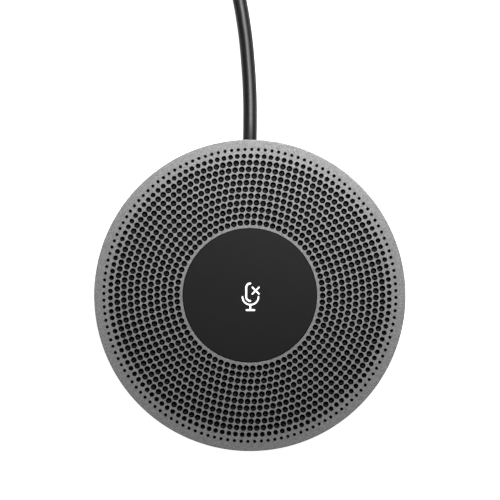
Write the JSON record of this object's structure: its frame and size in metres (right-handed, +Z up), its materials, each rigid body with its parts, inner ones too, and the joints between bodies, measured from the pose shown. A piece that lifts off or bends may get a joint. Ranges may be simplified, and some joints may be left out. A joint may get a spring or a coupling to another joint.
{
  "type": "conference speakerphone",
  "caption": "Flat round table speakerphone with a perforated metal top, a central mute button, a dark base on a rubber ring, and a fixed cable wound into a tied coil that ends in a plug.",
  "frame": {"origin": "on the table, under the middle of the round puck, at the underside of its rubber ring", "axes": "+Z up out of the button, +Y towards the cable, +X to the right as seen from above"},
  "size_m": [0.1186, 0.1944, 0.022],
  "materials": {
    "silver_paint": "fine-grained satin silver paint on pressed metal",
    "charcoal_plastic": "matte moulded charcoal",
    "black_plastic": "finely spark-eroded black",
    "black_cloth": "woven, dull",
    "black_rubber": "matte",
    "zinc_steel": "zinc plated",
    "ferrite": "ground ferrite",
    "circuit_board": "green solder resist",
    "chip_resin": "moulded resin",
    "nickel_plate": "nickel plated",
    "ivory_nylon": "moulded nylon",
    "clear_silicone": "milky silicone",
    "milky_acrylic": "white diffusing acrylic",
    "amber_film": "polyimide film",
    "black_paper": "pressed pulp",
    "enamelled_copper": "enamelled copper winding",
    "yellow_linen": "resin-dipped linen",
    "red_insulation": "extruded insulation",
    "black_pvc": "soft black jacket with a low sheen"
  },
  "bodies": {
    "puck": {"top_grille": "silver_paint", "inner_frame": "black_plastic", "bottom_cover": "black_plastic", "acoustic_cloth": "black_cloth", "cable_tie": "black_cloth", "rubber_foot_ring": "black_rubber", "microphone_boot_1": "black_rubber", "microphone_boot_2": "black_rubber", "microphone_boot_3": "black_rubber", "microphone_boot_4": "black_rubber", "speaker_gasket": "black_rubber", "speaker_surround": "black_rubber", "cable_grommet": "black_rubber", "weight_plate": "zinc_steel", "base_screw_1": "zinc_steel", "base_screw_2": "zinc_steel", "base_screw_3": "zinc_steel", "base_screw_4": "zinc_steel", "speaker_basket": "zinc_steel", "speaker_yoke": "zinc_steel", "speaker_top_plate": "zinc_steel", "speaker_magnet": "ferrite", "main_board": "circuit_board", "microphone_board": "circuit_board", "button_board": "circuit_board", "processor_chip": "chip_resin", "amplifier_chip": "chip_resin", "mute_switch_body": "chip_resin", "shield_can": "nickel_plate", "capacitor_1": "nickel_plate", "capacitor_2": "nickel_plate", "microphone_1": "nickel_plate", "microphone_2": "nickel_plate", "microphone_3": "nickel_plate", "microphone_4": "nickel_plate", "usb_plug_shell": "nickel_plate", "speaker_socket": "ivory_nylon", "cable_socket": "ivory_nylon", "cable_plug_housing": "ivory_nylon", "status_led": "ivory_nylon", "button_return_pad": "clear_silicone", "microphone_flex": "amber_film", "button_flex": "amber_film", "speaker_spider": "yellow_linen", "speaker_wire_red": "red_insulation", "speaker_wire_black": "black_pvc", "usb_cable": "black_pvc", "cable_coil": "black_pvc", "usb_cable_end": "black_pvc", "usb_plug_overmould": "black_pvc"},
    "mute_button": {"mute_button_cap": "charcoal_plastic", "symbol_light_guide": "milky_acrylic", "mute_switch_plunger": "ivory_nylon"},
    "cone": {"speaker_cone": "black_paper", "speaker_voice_coil": "enamelled_copper", "speaker_dust_cap": "black_paper"}
  },
  "joints": [
    {"name": "mute_press", "type": "slide", "parent": "puck", "child": "mute_button", "axis": [0, 0, -1], "range_m": [0, 0.0006], "stiffness_N_per_m": 2500, "springref_m": -0.0002, "deforming": ["button_return_pad"]},
    {"name": "cone_travel", "type": "slide", "parent": "puck", "child": "cone", "axis": [0, 0, 1], "range_m": [-0.0005, 0.0005], "stiffness_N_per_m": 500, "deforming": ["speaker_surround", "speaker_spider"]}
  ]
}
